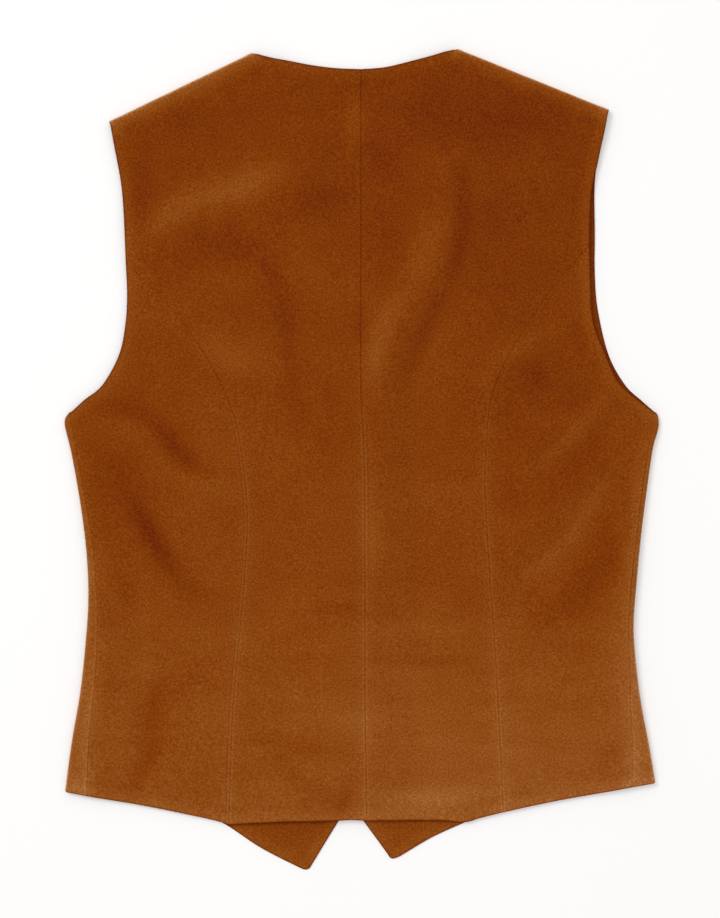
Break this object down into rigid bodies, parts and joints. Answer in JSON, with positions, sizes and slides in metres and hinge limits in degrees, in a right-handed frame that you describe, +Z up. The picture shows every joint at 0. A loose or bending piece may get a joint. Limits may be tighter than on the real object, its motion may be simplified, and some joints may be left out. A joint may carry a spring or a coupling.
{
  "type": "leather vest",
  "caption": "Waist-length suede vest with shaped back panels and pointed fronts, buttoned and laid flat on its front.",
  "frame": {"origin": "on the surface the vest lies on, under the middle of its outline", "axes": "+X to the right seen from above, +Y towards the neck, +Z up; the back of the vest is uppermost"},
  "size_m": [0.4868, 0.6742, 0.0104],
  "materials": {
    "suede": "brushed tan-brown suede with a fine short nap",
    "button": "dark brown horn-like, softly polished"
  },
  "bodies": {
    "root": {"back_centre_left": "suede", "back_centre_right": "suede", "back_side_left": "suede", "back_side_right": "suede", "front_left": "suede", "front_right": "suede", "button_1": "button", "button_2": "button", "button_3": "button", "button_4": "button", "button_5": "button"}
  },
  "joints": []
}
